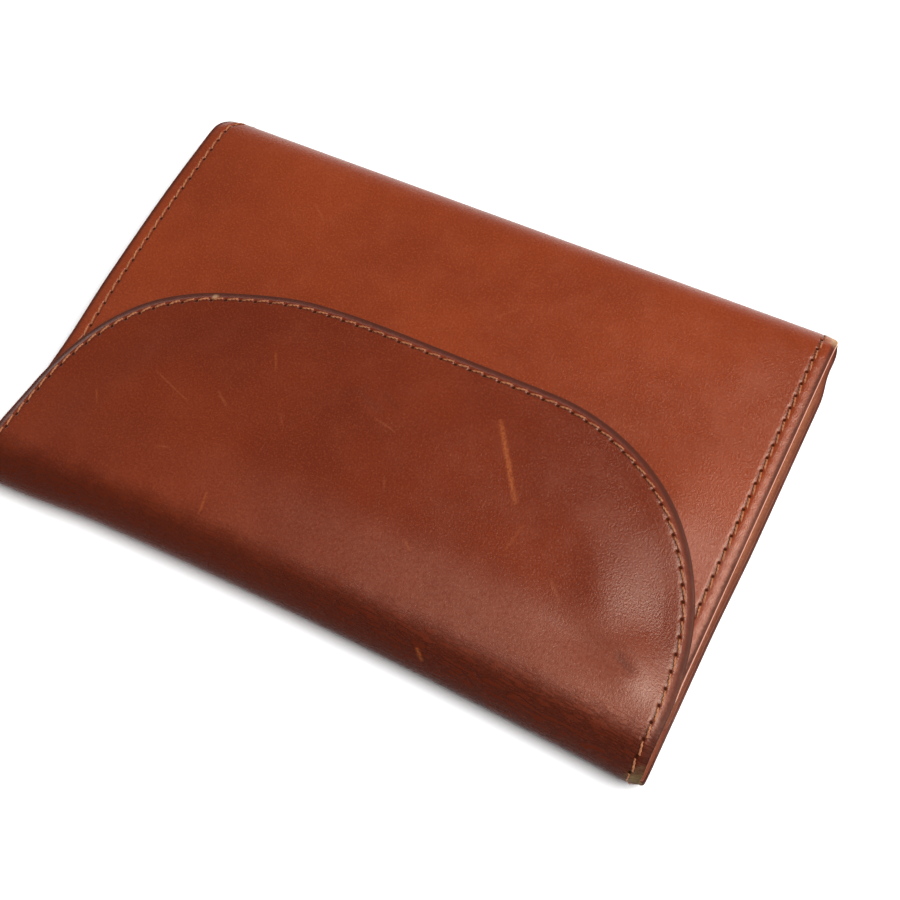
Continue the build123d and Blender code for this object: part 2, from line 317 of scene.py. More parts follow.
# ------------------------------------------------------------------ sheet builder


def spaced(low, high, step, multiple):
    """Evenly spaced values from low up to, not including, high."""
    count = max(1, math.ceil((high - low) / step / multiple)) * multiple
    return low + (high - low) * np.arange(count) / count


def stretches(ends, steps):
    """Runs along s between neighbouring ends, each with its own step."""
    return list(zip(ends, ends[1:], steps))


def outline(half, sides, corner_r, step, coarse, first_angle=0.0):
    """Stations up the left side, over the tip and down the right side.

    sides is a list of (low, high, step) along s.  Returns the points, outward
    normals, and the numbers of steps in the left and tip stretches.
    """
    side_s = [spaced(low, high, side_step, coarse) for low, high, side_step in sides]
    side_s = np.concatenate(side_s) if side_s else np.zeros(0)
    corner_s = sides[-1][1] if sides else 0.0
    centre_x = half - corner_r
    half_arc = coarse * max(2, math.ceil(corner_r * math.pi / 4 / step / coarse))
    angles = np.linspace(first_angle, math.pi / 2, 2 * half_arc + 1)
    top_count = coarse * max(2, math.ceil(2 * centre_x / step / coarse))
    left = [(-half, s, -1.0, 0.0) for s in side_s]
    for angle in angles:
        c, q = math.cos(angle), math.sin(angle)
        left.append((-centre_x - corner_r * c, corner_s + corner_r * q, -c, q))
    tip_s = corner_s + corner_r
    middle = [
        (-centre_x + 2 * centre_x * i / top_count, tip_s, 0.0, 1.0) for i in range(1, top_count)
    ]
    right = [(-x, s, -nx, ns) for x, s, nx, ns in reversed(left)]
    rows = np.array(left + middle + right)
    left_steps = len(side_s) + half_arc
    tip_steps = 2 * half_arc + top_count
    return rows[:, :2], rows[:, 2:], left_steps, tip_steps


BEVEL_REACH = 2.1  # how far in a bevelled edge starts to fall


def edge_profile(inset, top, thickness, rounding, seam=None, bevel=0.0, fine=0.2):
    """(distance in from the edge, height) from the outer face round to the inner."""
    if seam:
        high, low = seam + 1.1, max(seam - 1.1, rounding + 0.3)
        steps = [inset, (inset + high) / 2] if inset > high + 0.6 else [inset]
        steps += list(np.linspace(high, low, round((high - low) / fine) + 1))
        steps += list(np.linspace(low, rounding, 6)[1:])
    else:
        steps = [inset, inset * 0.6, inset * 0.3 + rounding * 0.7, rounding]
    outer = [(d, top) for d in steps]
    bend = []
    for angle in (18, 36, 54, 72, 90):
        a = math.radians(angle)
        bend.append((rounding * (1 - math.sin(a)), top - rounding * (1 - math.cos(a))))
    under = [(d, 2 * top - thickness - h) for d, h in reversed(outer + bend)]
    rows = np.array(outer + bend + under)
    fall = bevel * (1 - smooth(rows[:, 0] / BEVEL_REACH))
    middle = top - thickness / 2
    rows[:, 1] -= fall * np.clip((rows[:, 1] - middle) / (thickness / 2), 0, 1)
    return rows


def make_mesh(name, points, faces, attributes):
    """A smooth-shaded object, with its points given in millimetres."""
    mesh = bpy.data.meshes.new(name)
    mesh.from_pydata((points * MM).tolist(), [], faces)
    mesh.update()
    for key, values in attributes.items():
        if values.ndim == 2:
            layer = mesh.attributes.new(key, "FLOAT_VECTOR", "POINT")
            layer.data.foreach_set("vector", values.astype(np.float32).ravel())
        else:
            layer = mesh.attributes.new(key, "FLOAT", "POINT")
            layer.data.foreach_set("value", values.astype(np.float32))
    mesh.polygons.foreach_set("use_smooth", [True] * len(mesh.polygons))
    piece = bpy.data.objects.new(name, mesh)
    bpy.context.scene.collection.objects.link(piece)
    return piece


def path_length(line):
    """Distance along a line of flat points, at each of them."""
    return np.concatenate([[0], np.cumsum(np.hypot(*np.diff(line, axis=0).T))])


HOLE_REACH, HOLE_DEPTH = 0.34, 0.30
GROOVE_REACH, GROOVE_DEPTH = 0.42, 0.09
MARGIN_AT, MARGIN_REACH, MARGIN_RISE = 1.0, 0.6, 0.07  # the swell outside the seam


def press_seam(seam, points, normals, distance, outer):
    """Hole strength and height change that a stitch line gives a sheet's band.

    seam holds the line's inset, its pitch and the stations it covers.  The
    stitches' places are noted in seam["runs"].
    """
    line = points - seam["inset"] * normals
    along = path_length(line)
    station = np.arange(len(points))
    lateral = distance - seam["inset"]
    hole, change = np.zeros_like(distance), np.zeros_like(distance)
    seam["runs"] = []
    for first, last in seam["spans"]:
        length = along[last] - along[first]
        count = max(1, round(length / seam["pitch"]))
        pitch = length / count
        covered = ((station >= first) & (station <= last))[:, None] * outer
        off = (along - along[first]) / pitch
        to_hole = (off - np.round(off)) * pitch
        from_hole = np.hypot(to_hole[:, None] * 0.9, lateral)
        puncture = np.exp(-((from_hole / HOLE_REACH) ** 2)) * covered
        groove = np.exp(-((lateral / GROOVE_REACH) ** 2)) * covered
        margin = np.exp(-(((lateral + MARGIN_AT) / MARGIN_REACH) ** 2)) * covered
        between_holes = np.sin(math.pi * to_hole / pitch)[:, None] ** 2
        hole += puncture
        change += MARGIN_RISE * margin * between_holes
        change -= HOLE_DEPTH * puncture + GROOVE_DEPTH * groove
        seam["runs"].append((line, along, first, last, count))
    return hole, change


def fill_between(left, tip, right):
    """Points inside two sides and a tip, in rows from the sheet's straight end."""
    u = np.linspace(0, 1, len(tip))[None, :, None]
    v = np.linspace(0, 1, len(left))[:, None, None]
    base = left[0] * (1 - u) + right[0] * u
    inner = (1 - v) * base + v * tip[None] + (1 - u) * left[:, None] + u * right[:, None]
    inner -= (1 - u) * (1 - v) * left[0] + u * (1 - v) * right[0]
    inner -= (1 - u) * v * left[-1] + u * v * right[-1]
    return inner[:-1, 1:-1].reshape(-1, 2)


def band_faces(stations, ring):
    """The band round a sheet's edge, closed at both ends of its run."""
    faces = []
    for i in range(stations - 1):
        a = i * ring
        for k in range(ring - 1):
            faces.append((a + k, a + k + 1, a + ring + k + 1, a + ring + k))
    faces.append(tuple(range(ring)))
    faces.append(tuple((stations - 1) * ring + k for k in reversed(range(ring))))
    return faces


def leaf_faces(stations, ring, left_steps, rows, columns, coarse):
    """The coarser grids inside the band, on both faces, and the straight end."""
    core_total = rows * (columns - 1)

    def vertex(column, row, layer):
        k = layer * (ring - 1)
        if column == 0:
            return row * coarse * ring + k
        if column == columns:
            return ((stations - 1) - row * coarse) * ring + k
        if row == rows:
            return (left_steps + column * coarse) * ring + k
        return stations * ring + layer * core_total + row * (columns - 1) + column - 1

    def down_from(start, layer):
        return [(start - j) * ring + layer * (ring - 1) for j in range(1, coarse)]

    faces = []
    for layer in (0, 1):
        for row in range(rows):
            for column in range(columns):
                loop = [vertex(column, row, layer), vertex(column + 1, row, layer)]
                if column + 1 == columns:
                    loop += down_from((stations - 1) - row * coarse, layer)
                loop.append(vertex(column + 1, row + 1, layer))
                if row + 1 == rows:
                    loop += down_from(left_steps + (column + 1) * coarse, layer)
                loop.append(vertex(column, row + 1, layer))
                if column == 0:
                    loop += down_from((row + 1) * coarse, layer)
                faces.append(tuple(loop if layer == 0 else reversed(loop)))
    for column in range(columns):
        a, b = vertex(column, 0, 0), vertex(column + 1, 0, 0)
        c, d = vertex(column + 1, 0, 1), vertex(column, 0, 1)
        faces.append((b, a, d, c))
    return faces


def sheet(name, shape, wrap, profile, coarse, seam=None, flat_y=None):
    """A closed sheet of leather: a fine band round its edge, and coarser faces inside.

    shape is what outline() returns.  flat_y turns s into the marks' y.
    """
    points, normals, left_steps, tip_steps = shape
    stations, ring = len(points), len(profile)
    inset, top, bottom = profile[0, 0], profile[0, 1], profile[-1, 1]
    grid_x = points[:, None, 0] - profile[None, :, 0] * normals[:, None, 0]
    grid_s = points[:, None, 1] - profile[None, :, 0] * normals[:, None, 1]
    grid_n = np.repeat(profile[None, :, 1], stations, 0)
    distance = np.repeat(profile[None, :, 0], stations, 0)
    hole = np.zeros_like(grid_x)
    if seam:
        outer = np.arange(ring)[None, :] < ring // 2
        hole, change = press_seam(seam, points, normals, distance, outer)
        grid_n += change

    rows, columns = left_steps // coarse, tip_steps // coarse
    inner_edge = np.stack([grid_x[:, 0], grid_s[:, 0]], 1)
    up, across = np.arange(rows + 1) * coarse, np.arange(columns + 1) * coarse
    left, tip = inner_edge[up], inner_edge[left_steps + across]
    core = fill_between(left, tip, inner_edge[stations - 1 - up])
    zeros = np.zeros(len(core))
    all_x = np.concatenate([grid_x.ravel(), core[:, 0], core[:, 0]])
    all_s = np.concatenate([grid_s.ravel(), core[:, 1], core[:, 1]])
    all_n = np.concatenate([grid_n.ravel(), zeros + top, zeros + bottom])
    x, y, z = wrap(all_x, all_s, all_n)
    marks_y = flat_y(all_s) if flat_y else all_s
    attributes = {
        "flat": np.stack([all_x, marks_y, all_n], 1),
        "hole": np.clip(np.concatenate([hole.ravel(), zeros, zeros]), 0, 1),
        "inset": np.concatenate([distance.ravel(), zeros + inset, zeros + inset]),
    }
    faces = band_faces(stations, ring)
    faces += leaf_faces(stations, ring, left_steps, rows, columns, coarse)
    piece = make_mesh(name, np.stack([x, y + Y_NEAR, z], 1), faces, attributes)
    piece.data.set_sharp_from_angle(angle=math.radians(60))
    return piece


# ----------------------------------------------------------------------- thread

THREAD_R = 0.15
STRAND_OFFSET = 0.10
THREAD_OUT = 0.28  # the thread lies just outside its holes
THREAD_DIP = 0.34  # how far its ends go down into them
THREAD_RINGS = 13
THREAD_SIDES = 7


def strand(centre, centre_n, side, wind):
    """Points of one strand, ring by ring, as flat x, flat s and height."""
    around = 2 * math.pi * np.arange(THREAD_SIDES) / THREAD_SIDES
    offset = (STRAND_OFFSET * np.cos(wind))[:, None] + THREAD_R * np.cos(around)
    lift = (0.6 * STRAND_OFFSET * np.sin(wind))[:, None] + THREAD_R * np.sin(around)
    x = centre[:, :1] + offset * side[0]
    s = centre[:, 1:] + offset * side[1]
    return x.ravel(), s.ravel(), (centre_n[:, None] + lift).ravel()


def strand_faces(total):
    """Faces of a closed strand whose points start at number total."""
    faces = []
    for ring_index in range(THREAD_RINGS - 1):
        a = total + ring_index * THREAD_SIDES
        for j in range(THREAD_SIDES):
            k = (j + 1) % THREAD_SIDES
            faces.append((a + j, a + k, a + THREAD_SIDES + k, a + THREAD_SIDES + j))
    faces.append(tuple(total + j for j in reversed(range(THREAD_SIDES))))
    end = total + (THREAD_RINGS - 1) * THREAD_SIDES
    faces.append(tuple(end + j for j in range(THREAD_SIDES)))
    return faces


def stitch_thread(name, runs, wrap, height, slant):
    """Two-strand stitches between the holes of each run of a seam."""
    strands, faces = [], []
    t = np.linspace(0, 1, THREAD_RINGS)
    rise = np.sin(math.pi * t) ** 0.45
    for line, along, first, last, count in runs:
        places = along[first] + (along[last] - along[first]) * np.arange(count + 1) / count
        holes = np.stack([np.interp(places, along, line[:, axis]) for axis in (0, 1)], 1)
        for start, stop in zip(holes, holes[1:]):
            length = np.hypot(*(stop - start))
            run = (stop - start) / length
            side = np.array([-run[1], run[0]])
            lean = slant * rng.uniform(0.85, 1.15)
            centre = start + np.outer((0.10 + 0.80 * t) * length, run)
            centre = centre + np.outer(THREAD_OUT + (t - 0.5) * lean, side)
            centre_n = height - THREAD_DIP + (THREAD_DIP + rng.uniform(-0.02, 0.03)) * rise
            for half_turn in (0, 0.5):
                wind = 2 * math.pi * (1.6 * t + half_turn) + rng.uniform(0, 0.5)
                faces += strand_faces(len(strands) * THREAD_RINGS * THREAD_SIDES)
                strands.append(strand(centre, centre_n, side, wind))
    flat = [np.concatenate(part) for part in zip(*strands)]
    x, y, z = wrap(*flat)
    xyz = np.stack([x, y + Y_NEAR, z], 1)
    piece = make_mesh(name, xyz, faces, {"flat": np.stack(flat, 1)})
    return dress(piece, thread_look)


# -------------------------------------------------------------------- materials


class Nodes:
    """Short calls for building one material's node tree."""

    def __init__(self, name):
        self.material = bpy.data.materials.new(name)
        self.material.use_nodes = True
        self.tree = self.material.node_tree
        self.shader = self.tree.nodes["Principled BSDF"]

    def link(self, source, target):
        self.tree.links.new(source, target)

    def put(self, socket, value):
        if isinstance(value, bpy.types.NodeSocket):
            self.link(value, socket)
        else:
            socket.default_value = value

    def node(self, kind, **settings):
        made = self.tree.nodes.new(kind)
        for key, value in settings.items():
            setattr(made, key, value)
        return made

    def attribute(self, name, output):
        return self.node("ShaderNodeAttribute", attribute_name=name).outputs[output]

    def math(self, operation, a, b=0.0, c=0.0):
        made = self.node("ShaderNodeMath", operation=operation)
        for socket, value in zip(made.inputs, (a, b, c)):
            self.put(socket, value)
        return made.outputs[0]

    def times(self, first, *factors):
        """The product of two or more values."""
        for factor in factors:
            first = self.math("MULTIPLY", first, factor)
        return first

    def vector(self, operation, a, b=(0, 0, 0), scale=None, output=0):
        made = self.node("ShaderNodeVectorMath", operation=operation)
        self.put(made.inputs[0], a)
        self.put(made.inputs[1], b)
        if scale is not None:
            self.put(made.inputs["Scale"], scale)
        return made.outputs[output]

    def noise(self, vector, scale, detail=3.0, roughness=0.5, output="Fac"):
        made = self.node("ShaderNodeTexNoise")
        self.link(vector, made.inputs["Vector"])
        for key, value in (("Scale", scale), ("Detail", detail), ("Roughness", roughness)):
            made.inputs[key].default_value = value
        return made.outputs[output]

    def ramp(self, value, low, high, to_low=0.0, to_high=1.0):
        """A smooth step from to_low at low to to_high at high."""
        made = self.node("ShaderNodeMapRange", interpolation_type="SMOOTHSTEP")
        self.put(made.inputs["Value"], value)
        ends = {"From Min": low, "From Max": high, "To Min": to_low, "To Max": to_high}
        for key, end in ends.items():
            made.inputs[key].default_value = end
        return made.outputs[0]

    def mix(self, factor, a, b):
        """Colour a, turning to colour b where factor is 1."""
        made = self.node("ShaderNodeMix", data_type="RGBA")
        self.put(made.inputs["Factor"], factor)
        for key, value in (("A", a), ("B", b)):
            socket = [s for s in made.inputs if s.name == key and s.type == "RGBA"][0]
            if isinstance(value, tuple):
                value = value + (1.0,)
            self.put(socket, value)
        return [s for s in made.outputs if s.type == "RGBA"][0]

    def bump(self, height, distance, strength, normal=None):
        made = self.node("ShaderNodeBump")
        self.link(height, made.inputs["Height"])
        made.inputs["Distance"].default_value = distance
        made.inputs["Strength"].default_value = strength
        if normal is not None:
            self.link(normal, made.inputs["Normal"])
        return made.outputs[0]

    def surface(self, colour, rough, normal):
        """Send the finished look to the shader."""
        self.link(colour, self.shader.inputs["Base Color"])
        self.link(rough, self.shader.inputs["Roughness"])
        self.link(normal, self.shader.inputs["Normal"])
        return self.material


SCRATCH_FRAY = 0.5
HOLE_SHADE = (0.034, 0.009, 0.004)
# colour of the painted shade on the near fold and in its creases
FOLD_SHADE = (0.050, 0.0085, 0.0040)
CUT_EDGE_HIGHLIGHT = (0.50, 0.22, 0.15)


class Leather(Nodes):
    """Full-grain leather, whose colour and roughness are built up mark by mark.

    x, y and n are the leather's own flat coordinates, and inset is the distance
    in from its edge, so nothing slides when the leather bends.
    """

    def __init__(self, name, base, deep, bright, roughness):
        super().__init__(name)
        self.flat = self.attribute("flat", "Vector")
        self.inset = self.attribute("inset", "Fac")
        self.plane = self.vector("MULTIPLY", self.flat, (1, 1, 0.3))
        split = self.node("ShaderNodeSeparateXYZ")
        self.link(self.flat, split.inputs[0])
        self.x, self.y, self.n = split.outputs
        self.medium = self.noise(self.plane, 0.16, 4.0, 0.6)
        self.fine = self.noise(self.plane, 1.3, 5.0, 0.65)
        self.colour = self.mix(
            self.ramp(self.noise(self.plane, 0.028, 3.0, 0.55), 0.32, 0.70), deep, base
        )
        self.rough = self.ramp(self.medium, 0.3, 0.75, roughness - 0.03, roughness + 0.05)
        self.shine = []
        self.grain = None
        self.mottle(deep, bright)

    def tint(self, mask, colour):
        self.colour = self.mix(mask, self.colour, colour)

    def roughen(self, mask, amount):
        self.rough = self.math("ADD", self.rough, self.times(mask, amount))

    def raise_grain(self, height, distance, strength):
        self.grain = self.bump(height, distance, strength, self.grain)

    def mottle(self, deep, bright):
        """Clouds, fibres, specks, pores and scratched hairlines, in colour and height; the pale
        specks are partly painted glints.
        """
        speck_and_glint = self.noise(self.plane, 2.3, 2.0, 0.7)
        fibre = self.noise(self.vector("MULTIPLY", self.plane, (0.55, 2.2, 1)), 1.6, 4.0, 0.6)
        voronoi = self.node("ShaderNodeTexVoronoi", feature="DISTANCE_TO_EDGE")
        self.link(self.plane, voronoi.inputs["Vector"])
        voronoi.inputs["Scale"].default_value = 2.5
        cells = voronoi.outputs["Distance"]
        self.tint(self.ramp(self.medium, 0.44, 0.80, 0.0, 0.18), bright)
        self.tint(self.ramp(self.fine, 0.50, 0.30, 0.0, 0.35), deep)
        self.tint(self.ramp(fibre, 0.54, 0.78, 0.0, 0.20), bright)
        # pale specks: grain tone, partly painted glints of the grain's sheen
        self.tint(self.ramp(speck_and_glint, 0.50, 0.66, 0.0, 0.50), bright)
        self.tint(self.ramp(speck_and_glint, 0.50, 0.34, 0.0, 0.50), deep)
        self.tint(self.times(self.ramp(cells, 0.16, 0.0), 0.35), deep)
        patch = self.ramp(self.noise(self.plane, 0.07, 2.0), 0.48, 0.62)
        for heading in (0.9, -0.5, 2.2):
            self.tint(self.times(self.hairlines(heading), patch, 0.30), bright)
        self.raise_grain(self.math("SMOOTH_MIN", cells, 0.25, 0.1), 0.00005, 0.7)
        self.raise_grain(speck_and_glint, 0.00009, 0.7)
        self.raise_grain(self.medium, 0.0004, 0.10)

    def hairlines(self, heading):
        """Fine, faint, straight scratches that all run one way."""
        turned = self.node("ShaderNodeVectorRotate", rotation_type="Z_AXIS")
        self.link(self.flat, turned.inputs["Vector"])
        turned.inputs["Angle"].default_value = heading
        stretched = self.vector("MULTIPLY", turned.outputs[0], (0.13, 2.6, 0.0))
        return self.ramp(self.noise(stretched, 1.0, 2.0, 0.5), 0.66, 0.74)

    def dull_and_paint_sheen(self, x_range, y_range, sheen_colour):
        """A duller stretch along the folds, tinted with painted sheen, stronger towards the right."""
        rising = self.ramp(self.y, y_range[0] - 5, y_range[0])
        falling = self.ramp(self.y, y_range[1] + 10, y_range[1])
        dull = self.times(rising, falling, self.ramp(self.x, *x_range, 0.08, 1.0))
        self.roughen(dull, 0.05)
        # the pale tint is painted sheen, in place of the lamp's specular haze
        self.tint(self.times(dull, self.ramp(self.fine, 0.30, 0.62, 0.13, 0.32)), sheen_colour)

    def shade_near_fold(self):
        """The near fold: duller, with painted shade over it and in the creases along it."""
        turn = self.math("ADD", self.y, self.times(self.medium, 4.0))
        bent = self.times(self.ramp(turn, -9.0, -2.0), self.ramp(turn, 13.0, 6.0))
        self.shine.append(self.ramp(bent, 0.0, 1.0, 1.0, 0.12))
        below = self.math("SUBTRACT", turn, self.ramp(self.x, 45.0, -35.0, 0.0, 4.5))
        fold_shade_band = self.times(self.ramp(below, -9.0, -2.0), self.ramp(turn, 12.0, 5.5))
        # painted shade over the near fold
        self.tint(self.times(fold_shade_band, 0.82), FOLD_SHADE)
        folds = self.noise(self.vector("MULTIPLY", self.flat, (0.20, 1.0, 0.0)), 1.0, 4.0, 0.62)
        ridges = self.math("ABSOLUTE", self.math("SUBTRACT", folds, 0.5))
        reach = self.times(self.ramp(self.y, -16.0, -4.0), self.ramp(self.y, 12.0, 2.0))
        crease_zone = self.times(reach, self.ramp(self.x, -40.0, 55.0, 0.45, 1.0))
        # painted shade in the creases; the bump below gives them their relief
        self.tint(self.times(self.ramp(ridges, 0.06, 0.0), crease_zone, 0.85), FOLD_SHADE)
        self.raise_grain(self.times(self.ramp(ridges, 0.0, 0.09), crease_zone), 0.00028, 0.8)

    def frayed_line(self, start, stop, width, colour, strength):
        """A frayed line from start to stop."""
        along = Vector((stop[0] - start[0], stop[1] - start[1], 0))
        wobble = self.noise(self.flat, 0.55, 3.0, 0.6, "Color")
        shift = self.vector("SUBTRACT", wobble, (0.5, 0.5, 0.5))
        shift = self.vector("SCALE", shift, scale=SCRATCH_FRAY)
        place = self.vector("MULTIPLY", self.vector("ADD", self.flat, shift), (1, 1, 0))
        offset = self.vector("SUBTRACT", place, (start[0], start[1], 0))
        dot = self.vector("DOT_PRODUCT", offset, tuple(along / along.length_squared), output=1)
        t = self.math("MINIMUM", self.math("MAXIMUM", dot, 0.0), 1.0)
        nearest = self.vector("SCALE", tuple(along), scale=t)
        distance = self.vector("LENGTH", self.vector("SUBTRACT", offset, nearest), output=1)
        taper = self.math("POWER", self.times(t, self.math("SUBTRACT", 1.0, t)), 0.3)
        mask = self.times(self.ramp(distance, width, 0.0), taper, strength)
        grit = self.ramp(self.noise(self.plane, 2.4, 4.0, 0.7), 0.36, 0.56)
        self.tint(self.times(mask, grit), colour)
        self.roughen(mask, 0.12)

    def burnish_rim(self, burnish, band, groove):
        """A painted shadow in the stitch groove, and a dark, matt, polished-over rim."""
        if groove:
            beside = self.math("ABSOLUTE", self.math("SUBTRACT", self.inset, groove))
            # painted shadow along the groove that the stitches lie in
            self.tint(self.ramp(beside, 0.28, 0.06, 0.0, 0.5), burnish)
        uneven = self.times(self.math("SUBTRACT", self.fine, 0.5), 0.6)
        ragged = self.math("ADD", self.inset, uneven)
        tone = self.ramp(self.medium, 0.2, 0.8, 0.75, 1.0)
        rim = self.times(self.ramp(ragged, band + 0.60, band - 0.45), tone)
        self.tint(rim, burnish)
        self.roughen(rim, 0.15)
        self.shine.append(self.ramp(rim, 0.0, 1.0, 1.0, 0.3))

    def paint_arris_highlight(self, strength, from_y, to_y):
        """A pale line painted as the cut edge's highlight, on the upper corner of the rim only."""
        upper = self.times(self.ramp(self.n, -0.66, -0.44), self.ramp(self.y, from_y, to_y))
        # painted highlight along the upper arris
        self.tint(self.times(self.ramp(self.inset, 0.16, 0.06), upper, strength), CUT_EDGE_HIGHLIGHT)

    def rough_spot(self, x, y, reach, colour, strength):
        """A rough spot of colour with a ragged outline: worn places, and painted shade at the near
        fold's left end.
        """
        flat = self.vector("MULTIPLY", self.flat, (1, 1, 0))
        near = self.vector("LENGTH", self.vector("SUBTRACT", flat, (x, y, 0)), output=1)
        uneven = self.times(self.noise(self.plane, 0.8, 4.0), reach * 0.8)
        ragged = self.math("ADD", near, uneven)
        mask = self.ramp(ragged, reach * 1.25, reach * 0.55, 0.0, strength)
        self.tint(mask, colour)
        self.roughen(mask, 0.25)

    def pierce(self):
        """Dull stitch holes, with painted shade in them."""
        pit = self.ramp(self.attribute("hole", "Fac"), 0.20, 0.70)
        # painted shade in the holes
        self.tint(pit, HOLE_SHADE)
        self.roughen(pit, 0.4)
        self.shine.append(self.ramp(pit, 0.0, 0.5, 0.40, 0.0))

    def finish(self):
        shine = self.shader.inputs["Specular IOR Level"]
        shine.default_value = 0.40
        self.link(self.times(*self.shine), shine)
        self.shader.inputs["Specular Tint"].default_value = (1.0, 0.81, 0.66, 1.0)
        return self.surface(self.colour, self.rough, self.grain)


def leather(name, base, deep, bright, burnish, band, roughness=0.27, sheen_stretch=None,
            folded=False, lines=(), groove=None, arris_highlight=None, rough_spots=()):
    """One leather, from its colours, its rim and the marks that it has."""
    hide = Leather(name, base, deep, bright, roughness)
    if sheen_stretch:
        hide.dull_and_paint_sheen(*sheen_stretch)
    if folded:
        hide.shade_near_fold()
    for frayed_line in lines:
        hide.frayed_line(*frayed_line)
    hide.burnish_rim(burnish, band, groove)
    if arris_highlight:
        hide.paint_arris_highlight(*arris_highlight)
    for spot in rough_spots:
        hide.rough_spot(*spot)
    hide.pierce()
    return hide.finish()


def thread_material():
    """Waxed copper-tan thread with plied strands."""
    n = Nodes("waxed_thread")
    flat = n.attribute("flat", "Vector")
    ply = n.noise(flat, 2.5, 3.0, 0.6)
    colour = n.mix(n.ramp(ply, 0.3, 0.7), (0.18, 0.058, 0.023), (0.34, 0.125, 0.050))
    dirt = n.noise(flat, 0.22, 2.0, 0.5)
    colour = n.mix(n.ramp(dirt, 0.52, 0.72, 0.0, 0.6), colour, (0.17, 0.052, 0.018))
    twist = n.noise(n.vector("MULTIPLY", flat, (3.0, 3.0, 9.0)), 1.0, 2.0)
    n.shader.inputs["Specular IOR Level"].default_value = 0.25
    return n.surface(colour, n.ramp(ply, 0.2, 0.8, 0.48, 0.66), n.bump(twist, 0.00006, 0.7))


def stud_material():
    """Worn brass-plated press stud."""
    n = Nodes("stud_brass")
    place = n.node("ShaderNodeTexCoord").outputs["Object"]
    tone = n.noise(place, 420.0, 5.0, 0.65)
    colour = n.mix(n.ramp(tone, 0.25, 0.8), (0.60, 0.44, 0.21), (0.70, 0.55, 0.30))
    n.shader.inputs["Metallic"].default_value = 1.0
    fine = n.bump(n.noise(place, 3200.0, 2.0), 0.00001, 0.3)
    return n.surface(colour, n.ramp(tone, 0.3, 0.7, 0.30, 0.38), fine)


ORANGE_SCRAPE = (0.40, 0.105, 0.026)
PALE_SCUFF = (0.33, 0.105, 0.040)
FAINT_SCUFF = (0.28, 0.085, 0.032)
RAW_TAN = (0.40, 0.24, 0.13)
# pale tints: painted sheen on the flap and on the front panel
FLAP_SHEEN_PAINT = (0.23, 0.090, 0.060)
FRONT_SHEEN_PAINT = (0.30, 0.120, 0.085)
WORN_OLIVE = (0.13, 0.085, 0.040)
# dark tint: painted shade in the dent's crease and at the near fold's left end, and soft dark strokes
# on the flap
DARK_MARK_AND_SHADE = (0.050, 0.0115, 0.0070)
BURNISH = (0.050, 0.0130, 0.0082)

# from, to, width, colour, strength
flap_lines_and_shade = [
    ((20.2, 50.8), (31.0, 35.6), 0.85, ORANGE_SCRAPE, 0.68),
    ((34.2, 32.8), (33.2, 26.8), 0.5, ORANGE_SCRAPE, 0.22),
    ((43.0, 25.5), (47.0, 21.5), 0.6, FAINT_SCUFF, 0.3),
    ((-48.5, 32.5), (-38.6, 29.0), 0.3, PALE_SCUFF, 0.35),
    ((-34.0, 33.5), (-30.5, 31.0), 0.5, PALE_SCUFF, 0.3),
    ((-20.0, 34.0), (-17.5, 31.0), 0.4, FAINT_SCUFF, 0.3),
    ((-28.0, 46.5), (-25.5, 42.0), 0.45, ORANGE_SCRAPE, 0.25),
    ((-2.0, 40.6), (3.5, 39.4), 0.3, PALE_SCUFF, 0.3),
    ((-24.0, 13.0), (-23.0, 8.0), 0.4, ORANGE_SCRAPE, 0.4),
    ((15.0, 20.5), (17.5, 19.0), 0.45, ORANGE_SCRAPE, 0.3),
    ((27.0, 3.0), (29.0, 1.0), 0.6, ORANGE_SCRAPE, 0.6),
    ((-48.0, 59.2), (-45.0, 59.8), 0.9, RAW_TAN, 0.9),
    # painted shade along the dent's crease
    ((59.8, 17.9), (64.2, 15.9), 1.3, DARK_MARK_AND_SHADE, 0.9),
    ((-10.5, 42.0), (-6.5, 46.5), 1.6, DARK_MARK_AND_SHADE, 0.30),
    ((-8.0, 44.5), (-1.0, 42.0), 1.3, DARK_MARK_AND_SHADE, 0.30),
    ((-3.5, 46.5), (1.5, 44.0), 1.2, DARK_MARK_AND_SHADE, 0.25),
    ((-58.0, 24.0), (-55.5, 21.0), 0.4, ORANGE_SCRAPE, 0.3),
    ((-39.0, 17.5), (-36.5, 18.3), 0.35, PALE_SCUFF, 0.35),
    ((5.5, 30.5), (7.0, 27.5), 0.4, FAINT_SCUFF, 0.35),
]
front_scratches = [
    ((-40.0, 82.0), (-36.5, 79.0), 0.35, PALE_SCUFF, 0.3),
    ((12.0, 76.0), (8.0, 72.0), 0.5, FAINT_SCUFF, 0.25),
    ((37.0, 71.0), (33.0, 69.0), 0.5, FAINT_SCUFF, 0.25),
]

